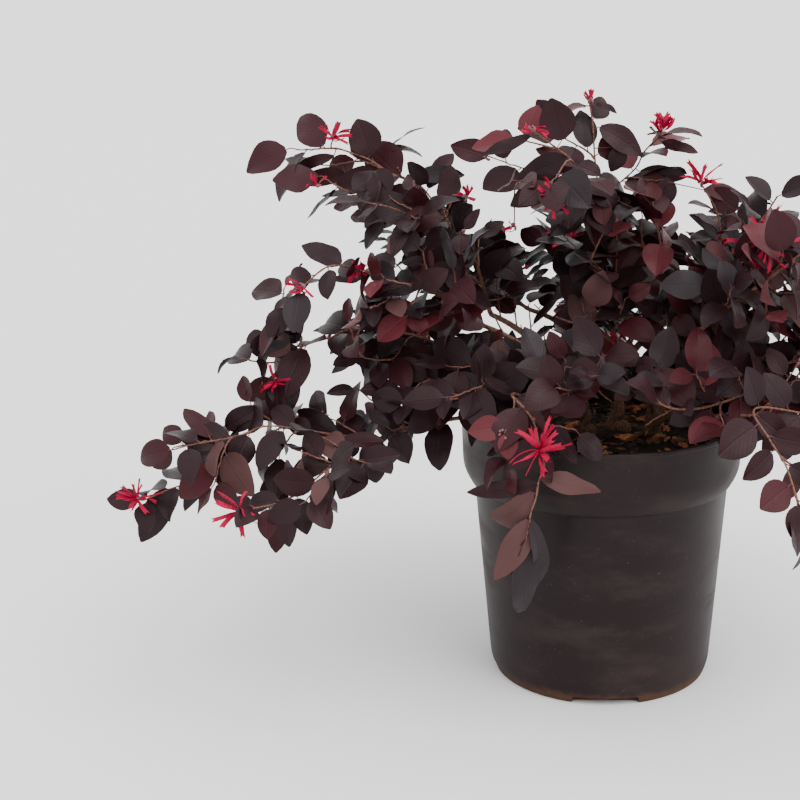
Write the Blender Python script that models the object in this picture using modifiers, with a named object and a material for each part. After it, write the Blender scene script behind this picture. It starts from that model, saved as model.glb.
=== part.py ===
"""A flowering fringe shrub in its round nursery pot: pot, substrate, stems, boughs and masses of foliage.

Metres, +Z up. The origin is the middle of the pot's flat underside, and -Y is the side that is seen.
"""

import math

import bmesh
import bpy
import numpy as np
from mathutils import Matrix, Vector
from mathutils.bvhtree import BVHTree

# The pot
POT_HEIGHT = 0.180
RIM_RADIUS = 0.0950
RIM_WALL = 0.0028
COLLAR_LOW_RADIUS = 0.0940
COLLAR_LOW_Z = 0.1470
LEDGE_RADIUS = 0.0868
LEDGE_Z = 0.1355
BASE_RADIUS = 0.0762
BASE_ROUND = 0.0040
WALL = 0.0018
FLOOR_TOP = 0.0078
TURN_STEPS = 56

# The drain notches round the foot of the pot, and the hole in the roof of each
NOTCHES = 4
NOTCH_TURN = math.radians(-86)
NOTCH_WIDTH = 0.044
NOTCH_HEIGHT = 0.0055
NOTCH_DEPTH = 0.0100
DRAIN_RADIUS = 0.0035
DRAIN_REACH = 0.0695

# The substrate: level round the stems, a little lower at the wall
SOIL_Z = 0.1690
SOIL_EDGE_Z = 0.1662
SOIL_LEVEL_RADIUS = 0.055

# Clear space between neighbouring solids
GAP = 0.0003

# Limbs are eight-sided, and swell where they leave the substrate
LIMB_POINTS = 6
FLARE = 1.35
FLARE_LENGTH = 0.007

# Stems: foot (x, y), head (x, y, z), foot radius, head radius
STEMS = {
    "stem_main": ((0.012, 0.008), (0.010, 0.008, 0.220), 0.0050, 0.0036),
    "stem_left": ((-0.010, -0.002), (-0.015, -0.005, 0.210), 0.0044, 0.0032),
    "stem_right": ((0.034, -0.002), (0.039, -0.004, 0.206), 0.0044, 0.0032),
}

# Boughs, from the lowest fork on their stem to the highest:
# name, stem, azimuth, rise, length, radius where it forks
BOUGHS = (
    ("bough_left_low", "stem_left", -142, 9, 0.088, 0.0024),
    ("bough_back_left_low", "stem_left", 137, 8, 0.092, 0.0024),
    ("bough_left_lower", "stem_left", -162, 24, 0.072, 0.0022),
    ("bough_front_left", "stem_left", -124, 20, 0.044, 0.0020),
    ("bough_front_hang", "stem_left", -104, 10, 0.083, 0.0018),
    ("bough_left_third", "stem_left", -152, 36, 0.084, 0.0024),
    ("bough_left_upper", "stem_left", 150, 30, 0.074, 0.0028),
    ("bough_back_low", "stem_main", 80, 6, 0.098, 0.0026),
    ("bough_back_left", "stem_main", 130, 18, 0.094, 0.0026),
    ("bough_back_right", "stem_main", 52, 18, 0.084, 0.0026),
    ("bough_back", "stem_main", 92, 10, 0.066, 0.0026),
    ("bough_right_low", "stem_right", -68, 18, 0.066, 0.0022),
    ("bough_back_right_low", "stem_right", 57, 14, 0.080, 0.0024),
    ("bough_front_right", "stem_right", -96, 22, 0.050, 0.0020),
    ("bough_front_centre", "stem_right", -122, 20, 0.062, 0.0018),
    ("bough_right", "stem_right", -20, 26, 0.042, 0.0026),
    ("bough_right_mid", "stem_right", -50, 56, 0.056, 0.0026),
    ("bough_right_upper", "stem_right", 40, 64, 0.050, 0.0026),
)
BOUGH_TAPER = 0.62
BOUGH_BOW = 0.16
FORK_STEP = 0.0044

# Masses of foliage, each on what bears it: name, bearer, how far along it, how far to its side,
# azimuth, rise, length, width, depth, bow. A mass with no side carries its bearer on.
MASSES = (
    ("centre", "stem_main", 1, 0, 130, 80, 0.052, 0.088, 0.056, 0.000),
    ("centre_upper", "centre", 0.70, 0.9, -170, 60, 0.078, 0.088, 0.060, 0.002),
    ("top", "centre", 0.88, 0, 172, 77, 0.134, 0.092, 0.058, 0.000),
    ("top_left", "top", 0.40, -0.9, 172, 32, 0.078, 0.080, 0.048, 0.008),
    ("top_right", "top", 0.26, 0.8, -16, 58, 0.086, 0.070, 0.048, 0.000),
    ("left_upper", "bough_left_upper", 1, 0, -153, 60, 0.082, 0.108, 0.062, 0.004),
    ("left_upper_tip", "left_upper", 0.88, 0, -170, 28, 0.126, 0.088, 0.056, 0.010),
    ("left_mid", "left_upper", 0.72, -1, -164, 24, 0.078, 0.076, 0.044, 0.006),
    ("left_third", "bough_left_third", 1, 0, -159, 24, 0.093, 0.088, 0.052, 0.006),
    ("left_third_tip", "left_third", 0.88, 0, -159, -30, 0.074, 0.064, 0.034, 0.008),
    ("left_lower", "bough_left_lower", 1, 0, -159, 16, 0.116, 0.092, 0.050, 0.010),
    ("left_lower_tip", "left_lower", 0.88, 0, -164, -28, 0.072, 0.064, 0.036, 0.006),
    ("left_low", "bough_left_low", 1, 0, -155, -4, 0.108, 0.096, 0.056, 0.010),
    ("left_low_tip", "left_low", 0.88, 0, -167, -12, 0.122, 0.090, 0.054, 0.008),
    ("left_low_hang", "left_low", 0.60, -1, -157, -34, 0.092, 0.070, 0.048, 0.010),
    ("front_left", "bough_front_left", 1, 0, -148, 2, 0.100, 0.104, 0.044, 0.008),
    ("front_hang", "bough_front_hang", 1, 0, -92, -44, 0.052, 0.062, 0.044, 0.008),
    ("front_hang_tip", "front_hang", 0.88, 0, -166, -84, 0.122, 0.066, 0.034, 0.000),
    ("front_centre", "bough_front_centre", 1, 0, -115, 14, 0.072, 0.060, 0.040, 0.008),
    ("front_right", "bough_front_right", 1, 0, -50, 0, 0.072, 0.074, 0.044, 0.008),
    ("right_upper", "bough_right_upper", 1, 0, -14, 56, 0.100, 0.088, 0.058, 0.000),
    ("right_mid", "bough_right_mid", 1, 0, -14, 38, 0.106, 0.100, 0.062, 0.004),
    ("right_tip", "right_mid", 0.88, 0, -2, -8, 0.118, 0.090, 0.048, 0.010),
    ("right", "bough_right", 1, 0, -10, 13, 0.112, 0.104, 0.058, 0.008),
    ("right_far", "right", 0.88, 0, -7, -18, 0.102, 0.088, 0.046, 0.012),
    ("right_low", "bough_right_low", 1, 0, -26, 7, 0.093, 0.084, 0.046, 0.010),
    ("right_low_hang", "right_low", 0.62, 1, -58, -60, 0.080, 0.070, 0.042, 0.008),
    ("back", "bough_back", 1, 0, 96, 24, 0.132, 0.136, 0.072, 0.008),
    ("back_low", "bough_back_low", 1, 0, 88, 7, 0.136, 0.122, 0.060, 0.008),
    ("back_left", "bough_back_left", 1, 0, 146, 20, 0.140, 0.122, 0.064, 0.008),
    ("back_left_low", "bough_back_left_low", 1, 0, 145, 0, 0.146, 0.108, 0.058, 0.010),
    ("back_right", "bough_back_right", 1, 0, 41, 19, 0.136, 0.122, 0.064, 0.008),
    ("back_right_low", "bough_back_right_low", 1, 0, 39, 2, 0.144, 0.116, 0.060, 0.010),
)
MASS_CLEAR = 0.0022
MASS_SIDES = 10
MASS_RINGS = 9
FULLNESS = 0.56
FULLEST_AT = 0.86
LUMPS = 0.11


def clear_scene():
    for obj in list(bpy.data.objects):
        bpy.data.objects.remove(obj, do_unlink=True)


def new_collection(name, hidden=False):
    collection = bpy.data.collections.new(name)
    bpy.context.scene.collection.children.link(collection)
    collection.hide_render = hidden
    return collection


def new_material(name, colour, roughness):
    material = bpy.data.materials.new(name)
    material.use_nodes = True
    shader = material.node_tree.nodes["Principled BSDF"]
    shader.inputs["Base Color"].default_value = (*colour, 1)
    shader.inputs["Roughness"].default_value = roughness
    shader.inputs["Metallic"].default_value = 0
    return material


def new_object(name, data, collection, material=None):
    obj = bpy.data.objects.new(name, data)
    collection.objects.link(obj)
    if material:
        data.materials.append(material)
    return obj


def heading(azimuth, rise):
    """The unit vector at this azimuth from +X and this rise from level, in degrees."""
    a = math.radians(azimuth)
    r = math.radians(rise)
    return Vector((math.cos(a) * math.cos(r), math.sin(a) * math.cos(r), math.sin(r)))


def face_out(bm):
    """Turns every face of a closed mesh outwards."""
    bmesh.ops.recalc_face_normals(bm, faces=bm.faces)
    if bm.calc_volume(signed=True) < 0:
        bmesh.ops.reverse_faces(bm, faces=bm.faces)


def turned_solid(name, profile, collection, material):
    """A solid of revolution. The profile goes from the axis, out, down its outer side and back."""
    mesh = bpy.data.meshes.new(name)
    points = [(radius, 0, z) for radius, z in profile]
    mesh.from_pydata(points, [(i, i + 1) for i in range(len(points) - 1)], [])
    obj = new_object(name, mesh, collection, material)
    screw = obj.modifiers.new("turn", "SCREW")
    screw.steps = TURN_STEPS
    screw.render_steps = TURN_STEPS
    screw.use_merge_vertices = True
    screw.merge_threshold = 0.0001
    screw.use_smooth_shade = True
    return obj


def pot_profile():
    """Up the inner side from the middle of the floor, over the rim, down the outer side."""
    lip = 0.0012
    shoulder = 0.0040
    inner_foot = BASE_RADIUS - WALL
    return [
        (0, FLOOR_TOP),
        (inner_foot, FLOOR_TOP),
        (LEDGE_RADIUS - WALL, LEDGE_Z - WALL / 2),
        (COLLAR_LOW_RADIUS - WALL, COLLAR_LOW_Z - WALL / 2),
        (RIM_RADIUS - RIM_WALL, POT_HEIGHT - lip),
        (RIM_RADIUS - RIM_WALL + lip / 2, POT_HEIGHT),
        (RIM_RADIUS - lip / 2, POT_HEIGHT),
        (RIM_RADIUS, POT_HEIGHT - lip),
        (COLLAR_LOW_RADIUS, COLLAR_LOW_Z),
        (COLLAR_LOW_RADIUS - shoulder / 2, COLLAR_LOW_Z - shoulder),
        (LEDGE_RADIUS, LEDGE_Z),
        (BASE_RADIUS, BASE_ROUND),
        (BASE_RADIUS - BASE_ROUND / 3, BASE_ROUND / 4),
        (BASE_RADIUS - BASE_ROUND / 1.5, 0),
        (0, 0),
    ]


def cut(obj, cutter):
    modifier = obj.modifiers.new(cutter.name, "BOOLEAN")
    modifier.operation = "DIFFERENCE"
    modifier.object = cutter


def add_cutter(name, bm, collection, turn):
    mesh = bpy.data.meshes.new(name)
    bm.to_mesh(mesh)
    bm.free()
    cutter = new_object(name, mesh, collection)
    cutter.rotation_euler = (0, 0, turn)
    cutter.hide_render = True
    cutter.display_type = "WIRE"
    return cutter


def add_pot(collection, cutters, material):
    pot = turned_solid("pot", pot_profile(), collection, material)
    margin = 0.002
    for i in range(NOTCHES):
        turn = NOTCH_TURN + i * math.tau / NOTCHES
        bm = bmesh.new()
        size = (NOTCH_DEPTH + margin, NOTCH_WIDTH, NOTCH_HEIGHT + margin)
        middle = BASE_RADIUS - NOTCH_DEPTH + size[0] / 2
        place = Matrix.Translation((middle, 0, NOTCH_HEIGHT - size[2] / 2))
        bmesh.ops.create_cube(bm, size=1, matrix=place @ Matrix.Diagonal((*size, 1)))
        cut(pot, add_cutter(f"notch_{i + 1}", bm, cutters, turn))
        bm = bmesh.new()
        bmesh.ops.create_cone(
            bm,
            cap_ends=True,
            segments=12,
            radius1=DRAIN_RADIUS,
            radius2=DRAIN_RADIUS,
            depth=FLOOR_TOP,
            matrix=Matrix.Translation((DRAIN_REACH, 0, FLOOR_TOP)),
        )
        cut(pot, add_cutter(f"drain_{i + 1}", bm, cutters, turn))


def add_substrate(collection, material):
    """The root ball's outer shape, which fills the pot up to a finger under its rim."""
    inner = pot_profile()
    profile = [(0, SOIL_Z), (SOIL_LEVEL_RADIUS, SOIL_Z)]
    collar = (inner[4][0] - inner[3][0]) / (inner[4][1] - inner[3][1])
    edge = inner[3][0] + collar * (SOIL_EDGE_Z - inner[3][1])
    profile.append((edge - 2 * GAP, SOIL_EDGE_Z))
    for radius, z in reversed(inner[1:4]):
        profile.append((radius - 2 * GAP, z + GAP))
    profile.append((0, FLOOR_TOP + GAP))
    turned_solid("substrate", profile, collection, material)


def add_limb(name, points, radii, collection, material):
    """One tapering round limb along its points, as a mesh with closed ends."""
    curve = bpy.data.curves.new(name, "CURVE")
    curve.dimensions = "3D"
    curve.bevel_depth = 1
    curve.bevel_resolution = 2
    curve.use_fill_caps = True
    spline = curve.splines.new("POLY")
    spline.points.add(len(points) - 1)
    for point, place, radius in zip(spline.points, points, radii):
        point.co = (*place, 1)
        point.radius = radius
    guide = bpy.data.objects.new(name + "_guide", curve)
    collection.objects.link(guide)
    graph = bpy.context.evaluated_depsgraph_get()
    mesh = bpy.data.meshes.new_from_object(guide.evaluated_get(graph))
    bpy.data.objects.remove(guide, do_unlink=True)
    bm = bmesh.new()
    bm.from_mesh(mesh)
    bmesh.ops.remove_doubles(bm, verts=bm.verts, dist=1e-6)
    face_out(bm)
    bm.to_mesh(mesh)
    bm.free()
    mesh.name = name
    mesh.materials.clear()
    mesh.shade_smooth()
    mesh.set_sharp_from_angle(angle=math.radians(50))
    return new_object(name, mesh, collection, material)


def add_stem(name, foot, head, foot_radius, head_radius, collection, material):
    """A short upright stem, cut flat on the substrate and flared at its foot."""
    start = Vector((*foot, SOIL_Z + GAP))
    end = Vector(head)
    rise = end.z - start.z
    points = []
    radii = []
    first = 1 / (LIMB_POINTS - 1)
    for k in np.linspace(0, 1, LIMB_POINTS):
        # The first stretch is upright, so that the foot is cut level.
        lean = max(0.0, (k - first) / (1 - first))
        points.append((start.x + (end.x - start.x) * lean, start.y + (end.y - start.y) * lean, start.z + rise * k))
        swell = 1 + (FLARE - 1) * max(0.0, 1 - k * rise / FLARE_LENGTH)
        radii.append((foot_radius + (head_radius - foot_radius) * k) * swell)
    add_limb(name, points, radii, collection, material)


def bough_points(fork, azimuth, rise, length):
    """An arching limb: it leaves its fork more steeply than its chord, and ends flatter."""
    chord = heading(azimuth, rise) * length
    middle = chord * 0.5 + Vector((0, 0, BOUGH_BOW * length * math.cos(math.radians(rise))))
    points = []
    for k in np.linspace(0, 1, LIMB_POINTS):
        points.append(fork + middle * (2 * k * (1 - k)) + chord * (k * k))
    return points


def add_stems_and_boughs(collection, material):
    """Returns the tip of each limb, by name."""
    tips = {}
    forks = {}
    for name, (foot, head, foot_radius, head_radius) in STEMS.items():
        add_stem(name, foot, head, foot_radius, head_radius, collection, material)
        tips[name] = Vector(head)
        count = sum(bough[1] == name for bough in BOUGHS)
        forks[name] = [head[2] - 0.003 - FORK_STEP * (count - 1 - i) for i in range(count)]
    for name, stem, azimuth, rise, length, radius in BOUGHS:
        foot, head, foot_radius, _ = STEMS[stem]
        height = forks[stem].pop(0)
        k = (height - SOIL_Z) / (head[2] - SOIL_Z)
        out = heading(azimuth, 0) * (foot_radius + radius + GAP)
        x = foot[0] + (head[0] - foot[0]) * k
        y = foot[1] + (head[1] - foot[1]) * k
        points = bough_points(Vector((x, y, height)) + out, azimuth, rise, length)
        radii = [radius * (1 - (1 - BOUGH_TAPER) * i / (LIMB_POINTS - 1)) for i in range(LIMB_POINTS)]
        add_limb(name, points, radii, collection, material)
        tips[name] = points[-1]
    return tips


class Mass:
    """One mass of foliage: a closed, uneven solid round a bowed line from its start to its tip."""

    def __init__(self, start, azimuth, rise, length, width, depth, bow, seed):
        self.along = heading(azimuth, rise)
        self.side = self.along.cross(Vector((0, 0, 1))).normalized()
        self.up = self.side.cross(self.along)
        self.start = start + self.along * MASS_CLEAR
        self.length, self.width, self.depth, self.bow = length, width, depth, bow
        self.phase = np.random.default_rng(seed).uniform(0, math.tau, 4)

    def line(self, k):
        return self.start + self.along * (self.length * k) + self.up * (self.bow * 4 * k * (1 - k))

    def girth(self, k):
        return math.sin(math.pi * k**FULLEST_AT) ** FULLNESS

    def skin(self, k, side):
        return self.line(k) + self.side * (side * self.girth(k) * self.width / 2)

    def point(self, unit):
        """Where a point of the unit sphere goes."""
        k = min(max((unit.z + 1) / 2, 0.0), 1.0)
        turn = math.atan2(unit.y, unit.x)
        a, b, c, d = self.phase
        lump = math.sin(2 * turn + a + 5 * k) + math.sin(3 * turn + b - 7 * k) + math.sin(turn + c + 9 * k)
        girth = self.girth(k) * (1 + LUMPS * lump * (0.7 + 0.3 * math.sin(d + 6 * k)))
        out = self.side * (math.cos(turn) * self.width / 2) + self.up * (math.sin(turn) * self.depth / 2)
        if 0 < k < 1:
            return self.line(k) + out * girth
        return self.line(k)

    def bmesh(self):
        bm = bmesh.new()
        bmesh.ops.create_uvsphere(bm, u_segments=MASS_SIDES, v_segments=MASS_RINGS, radius=1)
        for vert in bm.verts:
            vert.co = self.point(vert.co.copy())
        face_out(bm)
        return bm

    def nearest(self, place):
        ks = np.linspace(0, 1, 25)
        return min((self.line(k) for k in ks), key=lambda p: (p - place).length)


def trim(bm, place, normal):
    """Cuts away what lies past the plane, and closes the cut."""
    parts = list(bm.verts) + list(bm.edges) + list(bm.faces)
    bmesh.ops.bisect_plane(bm, geom=parts, dist=1e-6, plane_co=place, plane_no=normal, clear_outer=True)
    rim = [edge for edge in bm.edges if edge.is_boundary]
    if rim:
        bmesh.ops.edgeloop_fill(bm, edges=rim)
        face_out(bm)


def part_neighbours(masses, solids):
    """Where two masses run into each other, both are cut along the plane between them."""
    names = list(masses)
    for i, one in enumerate(names):
        for other in names[i + 1 :]:
            trees = [BVHTree.FromBMesh(solids[name]) for name in (one, other)]
            pairs = trees[0].overlap(trees[1])
            if not pairs:
                continue
            solids[one].faces.ensure_lookup_table()
            shared = {pair[0] for pair in pairs}
            place = sum((solids[one].faces[f].calc_center_median() for f in shared), Vector()) / len(shared)
            normal = masses[other].nearest(place) - masses[one].nearest(place)
            if normal.length < 0.004:
                normal = masses[other].line(0.5) - masses[one].line(0.5)
            normal.normalize()
            trim(solids[one], place - normal * GAP, normal)
            trim(solids[other], place + normal * GAP, -normal)


def add_masses(tips, collection, material):
    masses = {}
    for seed, row in enumerate(MASSES):
        name, bearer, along, side, azimuth, rise, length, width, depth, bow = row
        if bearer in tips:
            start = tips[bearer]
        elif side:
            start = masses[bearer].skin(along, side)
        else:
            start = masses[bearer].line(along)
        masses[name] = Mass(start, azimuth, rise, length, width, depth, bow, seed)
    solids = {name: mass.bmesh() for name, mass in masses.items()}
    part_neighbours(masses, solids)
    for name, bm in solids.items():
        bmesh.ops.triangulate(bm, faces=bm.faces)
        mesh = bpy.data.meshes.new("foliage_" + name)
        bm.to_mesh(mesh)
        bm.free()
        mesh.shade_smooth()
        new_object("foliage_" + name, mesh, collection, material)


clear_scene()
shrub = new_collection("Potted fringe shrub")
cutters = new_collection("Cutters", hidden=True)
plastic = new_material("pot plastic", (0.045, 0.035, 0.037), 0.55)
peat = new_material("peat and bark", (0.060, 0.026, 0.014), 0.95)
bark = new_material("bark", (0.150, 0.062, 0.032), 0.80)
foliage = new_material("foliage", (0.030, 0.011, 0.014), 0.60)
add_pot(shrub, cutters, plastic)
add_substrate(shrub, peat)
limb_tips = add_stems_and_boughs(shrub, bark)
add_masses(limb_tips, shrub, foliage)
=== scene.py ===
import math
from collections import namedtuple

import bmesh
import bpy
import numpy as np
from mathutils import Matrix, Vector, noise
from mathutils.bvhtree import BVHTree


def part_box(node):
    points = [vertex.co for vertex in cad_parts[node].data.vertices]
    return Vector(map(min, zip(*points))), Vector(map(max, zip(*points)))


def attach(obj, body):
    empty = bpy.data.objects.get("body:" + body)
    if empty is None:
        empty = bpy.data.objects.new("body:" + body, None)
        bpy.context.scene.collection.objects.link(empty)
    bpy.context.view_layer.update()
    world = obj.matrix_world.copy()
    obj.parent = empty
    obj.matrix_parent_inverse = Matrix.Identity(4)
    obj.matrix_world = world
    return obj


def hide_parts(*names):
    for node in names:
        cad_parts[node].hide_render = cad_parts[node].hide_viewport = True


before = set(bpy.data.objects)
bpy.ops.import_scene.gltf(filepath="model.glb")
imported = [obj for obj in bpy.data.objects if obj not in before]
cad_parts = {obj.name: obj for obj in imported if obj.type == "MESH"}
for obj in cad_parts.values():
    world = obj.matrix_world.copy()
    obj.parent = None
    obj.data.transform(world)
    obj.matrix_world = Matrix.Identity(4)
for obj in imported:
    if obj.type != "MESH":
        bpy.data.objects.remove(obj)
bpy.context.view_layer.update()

# The camera stands in front of the pot, turned a little to the left, and looks down on it. Its place and
# turn were found from the pot's rim, collar and foot, so that a pixel of the photograph, 800 by 800, and a
# depth y give a point of the plant.
PICTURE = 800
LENS = 63
SENSOR = 36
FOCAL = PICTURE * LENS / SENSOR
EYE = Vector((0, -0.933, 0.433))
LOOK_DOWN = math.radians(14.487)
LOOK_ASIDE = math.radians(-8.409)
LEAN = math.radians(-1.668)

forward = Vector((math.sin(LOOK_ASIDE), math.cos(LOOK_ASIDE), 0)) * math.cos(LOOK_DOWN)
forward.z = -math.sin(LOOK_DOWN)
level = Vector((math.cos(LOOK_ASIDE), -math.sin(LOOK_ASIDE), 0))
raised = level.cross(forward)
rightward = level * math.cos(LEAN) + raised * math.sin(LEAN)
upward = raised * math.cos(LEAN) - level * math.sin(LEAN)


def placed(name, data):
    """A new object in the scene, of a mesh, a lamp or a camera."""
    obj = bpy.data.objects.new(name, data)
    bpy.context.scene.collection.objects.link(obj)
    return obj


camera = placed("camera", bpy.data.cameras.new("camera"))
camera.data.lens = LENS
camera.data.sensor_width = SENSOR
camera.data.clip_start = 0.01
camera.matrix_world = Matrix.Translation(EYE) @ Matrix((rightward, upward, -forward)).transposed().to_4x4()
bpy.context.scene.camera = camera


def seen(px, py, y):
    """The point at depth y that shows at this pixel."""
    ray = forward * FOCAL + rightward * (px - PICTURE / 2) + upward * (PICTURE / 2 - py)
    return EYE + ray * ((y - EYE.y) / ray.y)


def on_picture(places):
    """The pixels where these points show."""
    away = places - np.array(EYE)
    deep = away @ np.array(forward)
    beside = np.column_stack([away @ np.array(rightward), -(away @ np.array(upward))])
    return beside / deep[:, None] * FOCAL + PICTURE / 2


# The pot is one injection-moulded shell of recycled black plastic: a deep collar over a rounded ledge, a
# thin rolled lip, a tapering body and a foot with four drain notches. It is scuffed, dusty and splashed,
# with a crust of dried soil round the foot. The profile is spun, and the notches are cut out of it.
pot_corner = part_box("pot")[1]
RIM_RADIUS = pot_corner.x
RIM_Z = pot_corner.z
RIM_WALL = 0.0022
COLLAR_RADIUS = 0.0940
COLLAR_Z = 0.1470
LEDGE_RADIUS = 0.0868
LEDGE_Z = 0.1355
FOOT_RADIUS = 0.0762
WALL = 0.0016
FLOOR_Z = 0.0070
NOTCHES = 4
NOTCH_TURN = math.radians(-86)
NOTCH_WIDTH = 0.044
NOTCH_HEIGHT = 0.0055
NOTCH_DEPTH = 0.0100
NOTCH_ROUNDING = 0.0022
CUTTER_OUTSIDE = 0.004
POT_STEPS = 224
POT_COLOUR = (0.0100, 0.0051, 0.0053, 1)
POT_SCUFF = (0.0330, 0.0205, 0.0202, 1)
POT_DIRT = (0.0950, 0.0430, 0.0240, 1)
POT_SPECK = (0.16, 0.12, 0.11, 1)
CRUST_HEIGHT = 0.016


class Value:
    """A socket's value in a material. Arithmetic on it adds the Math nodes."""

    def __init__(self, paint, socket):
        self.paint = paint
        self.socket = socket

    def math(self, operation, *others):
        return self.paint.node("ShaderNodeMath", {"operation": operation}, dict(enumerate([self, *others])))

    def __add__(self, other):
        return self.math("ADD", other)

    __radd__ = __add__

    def __sub__(self, other):
        return self.math("SUBTRACT", other)

    def __rsub__(self, other):
        return self * -1 + other

    def __mul__(self, other):
        return self.math("MULTIPLY", other)

    def above(self, low, high):
        """0 up to low, 1 from high, and smooth between."""
        settings = {"interpolation_type": "SMOOTHSTEP"}
        return self.paint.node("ShaderNodeMapRange", settings, {0: self, 1: low, 2: high})


class Paint:
    """A material: the Principled shader's constants, and the nodes that vary it."""

    def __init__(self, name, **constants):
        self.material = bpy.data.materials.new(name)
        self.material.use_nodes = True
        self.tree = self.material.node_tree
        self.shader = self.tree.nodes["Principled BSDF"]
        for words, value in constants.items():
            self.shader.inputs[words.replace("_", " ")].default_value = value

    def node(self, kind, settings, inputs, output=0):
        node = self.tree.nodes.new(kind)
        for key, value in settings.items():
            setattr(node, key, value)
        for key, value in inputs.items():
            if isinstance(value, Value):
                self.tree.links.new(value.socket, node.inputs[key])
            else:
                node.inputs[key].default_value = value
        return Value(self, node.outputs[output])

    def place(self, scale=(1, 1, 1)):
        """The object's own coordinates, in metres times the scale."""
        coordinates = self.node("ShaderNodeTexCoord", {}, {}, output=3)
        return self.node("ShaderNodeMapping", {}, {"Vector": coordinates, "Scale": scale})

    def noise(self, scale, detail=4, rough=0.55, stretch=(1, 1, 1)):
        inputs = {"Vector": self.place(stretch), "Scale": scale, "Detail": detail, "Roughness": rough}
        return self.node("ShaderNodeTexNoise", {}, inputs)

    def mix(self, one, other, factor):
        return self.node("ShaderNodeMix", {"data_type": "RGBA"}, {0: factor, 6: one, 7: other}, output=2)

    def bump(self, height, distance, strength=1):
        inputs = {"Height": height, "Distance": distance, "Strength": strength}
        self.set("Normal", self.node("ShaderNodeBump", {}, inputs))

    def set(self, socket, value):
        self.tree.links.new(value.socket, self.shader.inputs[socket])


def rounded(corners, steps=5):
    """An outline with its corners rounded: each corner is (radius from the axis, z, rounding)."""
    points = [Vector((r, 0, z)) for r, z, _ in corners]
    outline = []
    for i, here in enumerate(points):
        size = corners[i][2]
        if not size:
            outline.append(here)
            continue
        start = here + (points[i - 1] - here).normalized() * size
        end = here + (points[i + 1] - here).normalized() * size
        for k in np.linspace(0, 1, steps):
            outline.append(start.lerp(here, k).lerp(here.lerp(end, k), k))
    return outline


def face_out(bm):
    """Turns the faces of a closed shell outward."""
    bmesh.ops.recalc_face_normals(bm, faces=bm.faces)
    if bm.calc_volume(signed=True) < 0:
        bmesh.ops.reverse_faces(bm, faces=bm.faces)


def turned(outline, steps):
    """A closed shell: the outline, which starts and ends on the Z axis, spun once round it."""
    bm = bmesh.new()
    verts = [bm.verts.new(point) for point in outline]
    edges = [bm.edges.new(pair) for pair in zip(verts, verts[1:])]
    bmesh.ops.spin(
        bm, geom=verts + edges, cent=(0, 0, 0), axis=(0, 0, 1), angle=math.tau, steps=steps, use_merge=True
    )
    bmesh.ops.remove_doubles(bm, verts=bm.verts, dist=1e-6)
    face_out(bm)
    return bm


def finish_piece(name, mesh, paints, replaced=(), sharp=40):
    """Makes the piece's object, smooth up to an angle, and tells the frame about it."""
    obj = placed(name, mesh)
    mesh.materials.clear()
    for paint in paints:
        mesh.materials.append(paint.material)
    mesh.shade_smooth()
    mesh.set_sharp_from_angle(angle=math.radians(sharp))
    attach(obj, "root")
    if replaced:
        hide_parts(*replaced)


def mesh_of(name, bm):
    """The mesh of a bmesh, which is used up."""
    mesh = bpy.data.meshes.new(name)
    bm.to_mesh(mesh)
    bm.free()
    return mesh


pot_outline = rounded(
    [
        (0, FLOOR_Z, 0),
        (FOOT_RADIUS - WALL, FLOOR_Z, 0.003),
        (LEDGE_RADIUS - WALL, LEDGE_Z, 0.002),
        (COLLAR_RADIUS - WALL, COLLAR_Z, 0.002),
        (RIM_RADIUS - RIM_WALL, RIM_Z, 0.0008),
        (RIM_RADIUS, RIM_Z, 0.0010),
        (RIM_RADIUS, RIM_Z - 0.0030, 0.0006),
        (RIM_RADIUS - 0.0004, RIM_Z - 0.0034, 0.0002),
        (COLLAR_RADIUS, COLLAR_Z, 0.0060),
        (LEDGE_RADIUS + 0.0016, LEDGE_Z + 0.0012, 0.0016),
        (LEDGE_RADIUS - 0.0006, LEDGE_Z + 0.0002, 0.0004),
        (FOOT_RADIUS + 0.0002, 0.0060, 0.0060),
        (FOOT_RADIUS - 0.0026, 0, 0.0020),
        (0, 0, 0),
    ]
)
pot_blank = placed("pot_blank", mesh_of("pot_shell", turned(pot_outline, POT_STEPS)))
cutter_bm = bmesh.new()
for i in range(NOTCHES):
    turn = Matrix.Rotation(NOTCH_TURN + i * math.tau / NOTCHES, 4, "Z")
    reach = NOTCH_DEPTH + CUTTER_OUTSIDE
    middle = Matrix.Translation((FOOT_RADIUS - NOTCH_DEPTH + reach / 2, 0, 0))
    size = Matrix.Diagonal((reach, NOTCH_WIDTH, 2 * NOTCH_HEIGHT, 1))
    block = bmesh.ops.create_cube(cutter_bm, size=1, matrix=turn @ middle @ size)
    edges = {e for v in block["verts"] for e in v.link_edges if e.calc_length() < 3 * NOTCH_HEIGHT}
    bevel = {"offset": NOTCH_ROUNDING, "affect": "EDGES", "segments": 3, "profile": 0.5, "material": -1}
    bmesh.ops.bevel(cutter_bm, geom=list(edges), **bevel)
notch_cutter = placed("notch_cutter", mesh_of("notch_cutter", cutter_bm))
cut = pot_blank.modifiers.new("notches", "BOOLEAN")
cut.operation = "DIFFERENCE"
cut.solver = "MANIFOLD"
cut.object = notch_cutter
pot_mesh = bpy.data.meshes.new_from_object(pot_blank.evaluated_get(bpy.context.evaluated_depsgraph_get()))
bpy.data.objects.remove(pot_blank)
bpy.data.objects.remove(notch_cutter)

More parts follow.
